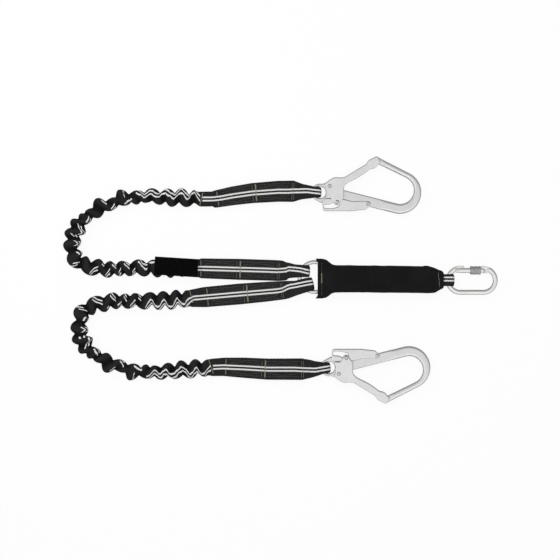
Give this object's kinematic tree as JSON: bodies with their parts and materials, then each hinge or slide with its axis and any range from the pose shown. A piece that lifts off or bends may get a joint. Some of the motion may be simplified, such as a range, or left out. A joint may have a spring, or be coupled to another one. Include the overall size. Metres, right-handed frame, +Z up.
{
  "type": "twin shock-absorbing lanyard",
  "caption": "Twin-leg elastic fall-arrest lanyard with two double-action hooks, a ring, a covered tear-webbing absorber and an oval screw-gate carabiner.",
  "frame": {"origin": "middle of the absorber cover's flat resting face", "axes": "+X along the absorber towards the oval carabiner, +Z up from the surface that the lanyard lies on, +Y towards the leg with the label sleeve"},
  "size_m": [0.9038, 0.5128, 0.03],
  "materials": {
    "satin_alloy": "satin",
    "zinc_steel": "bright zinc plate",
    "pin_steel": "plated rivet steel",
    "spring_steel": "drawn wire",
    "sleeve_steel": "grey knurled",
    "webbing": "woven polyester with two white lines",
    "cover_cloth": "sewn cloth",
    "label_film": "bare film",
    "core_rubber": "matt"
  },
  "bodies": {
    "absorber": {"absorber_cover": "cover_cloth", "absorber_tear_pack": "webbing", "absorber_ring_strap": "webbing", "absorber_carabiner_strap": "webbing"},
    "ring": {"ring": "zinc_steel"},
    "leg_upper": {"leg_upper_elastic": "webbing", "leg_upper_elastic_core": "core_rubber", "leg_upper_hook_strap": "webbing", "leg_upper_ring_strap": "webbing", "leg_upper_label_sleeve": "label_film"},
    "leg_lower": {"leg_lower_elastic": "webbing", "leg_lower_elastic_core": "core_rubber", "leg_lower_hook_strap": "webbing", "leg_lower_ring_strap": "webbing"},
    "hook_upper": {"hook_upper_frame": "satin_alloy", "hook_upper_gate_rivet": "pin_steel", "hook_upper_lever_rivet": "pin_steel"},
    "hook_upper_gate_body": {"hook_upper_gate": "satin_alloy", "hook_upper_latch_pin": "pin_steel", "hook_upper_gate_spring": "spring_steel"},
    "hook_upper_lever_body": {"hook_upper_lock_lever": "satin_alloy", "hook_upper_lever_spring": "spring_steel"},
    "hook_lower": {"hook_lower_frame": "satin_alloy", "hook_lower_gate_rivet": "pin_steel", "hook_lower_lever_rivet": "pin_steel"},
    "hook_lower_gate_body": {"hook_lower_gate": "satin_alloy", "hook_lower_latch_pin": "pin_steel", "hook_lower_gate_spring": "spring_steel"},
    "hook_lower_lever_body": {"hook_lower_lock_lever": "satin_alloy", "hook_lower_lever_spring": "spring_steel"},
    "carabiner": {"carabiner_body": "zinc_steel", "carabiner_hinge_rivet": "pin_steel"},
    "carabiner_gate_body": {"carabiner_gate": "zinc_steel", "carabiner_latch_pin": "pin_steel", "carabiner_spring_plunger": "pin_steel", "carabiner_gate_spring": "spring_steel"},
    "carabiner_sleeve_body": {"carabiner_screw_sleeve": "sleeve_steel"}
  },
  "joints": [
    {"name": "leg_upper_swing", "type": "hinge", "parent": "absorber", "child": "leg_upper", "pos_m": [-0.1342, 0.0041, 0.0114], "axis": [0, 0, 1], "range_deg": [-12, 0]},
    {"name": "leg_lower_swing", "type": "hinge", "parent": "absorber", "child": "leg_lower", "pos_m": [-0.1342, 0.0041, 0.0114], "axis": [0, 0, 1], "range_deg": [0, 12]},
    {"name": "ring_turn", "type": "hinge", "parent": "absorber", "child": "ring", "pos_m": [-0.1342, 0.0041, 0.0114], "axis": [0, 0, 1], "continuous": true},
    {"name": "hook_upper_swing", "type": "hinge", "parent": "leg_upper", "child": "hook_upper", "pos_m": [-0.1229, 0.18, 0.0114], "axis": [0, 0, 1], "range_deg": [-20, 30]},
    {"name": "hook_lower_swing", "type": "hinge", "parent": "leg_lower", "child": "hook_lower", "pos_m": [-0.104, -0.1842, 0.0114], "axis": [0, 0, 1], "range_deg": [-30, 20]},
    {"name": "hook_upper_gate_open", "type": "hinge", "parent": "hook_upper", "child": "hook_upper_gate_body", "pos_m": [-0.1029, 0.1927, 0.0114], "axis": [0, 0, 1], "range_deg": [-36, 0], "stiffness_Nm_per_rad": 0.5, "springref_deg": 22.92},
    {"name": "hook_lower_gate_open", "type": "hinge", "parent": "hook_lower", "child": "hook_lower_gate_body", "pos_m": [-0.084, -0.1969, 0.0114], "axis": [0, 0, 1], "range_deg": [0, 36], "stiffness_Nm_per_rad": 0.5, "springref_deg": -22.92},
    {"name": "hook_upper_lever_squeeze", "type": "hinge", "parent": "hook_upper", "child": "hook_upper_lever_body", "pos_m": [-0.0231, 0.1557, 0.0114], "axis": [0, 0, 1], "range_deg": [-4.6, 0]},
    {"name": "hook_lower_lever_squeeze", "type": "hinge", "parent": "hook_lower", "child": "hook_lower_lever_body", "pos_m": [-0.0042, -0.1599, 0.0114], "axis": [0, 0, 1], "range_deg": [0, 4.6]},
    {"name": "carabiner_swing", "type": "hinge", "parent": "absorber", "child": "carabiner", "pos_m": [0.1689, -0.0027, 0.0114], "axis": [0, 0, 1], "range_deg": [-40, 12]},
    {"name": "carabiner_gate_open", "type": "hinge", "parent": "carabiner", "child": "carabiner_gate_body", "pos_m": [0.2186, 0.0159, 0.0114], "axis": [0, 0, 1], "range_deg": [0, 22], "stiffness_Nm_per_rad": 0.4, "springref_deg": -28.65},
    {"name": "carabiner_sleeve_travel", "type": "slide", "parent": "carabiner_gate_body", "child": "carabiner_sleeve_body", "axis": [-1, 0, 0], "range_m": [0, 0.0126]}
  ],
  "couplings": [
    {"joint": "hook_upper_lever_squeeze", "follows": "hook_upper_gate_open", "ratio": 0.127},
    {"joint": "hook_lower_lever_squeeze", "follows": "hook_lower_gate_open", "ratio": 0.127}
  ]
}
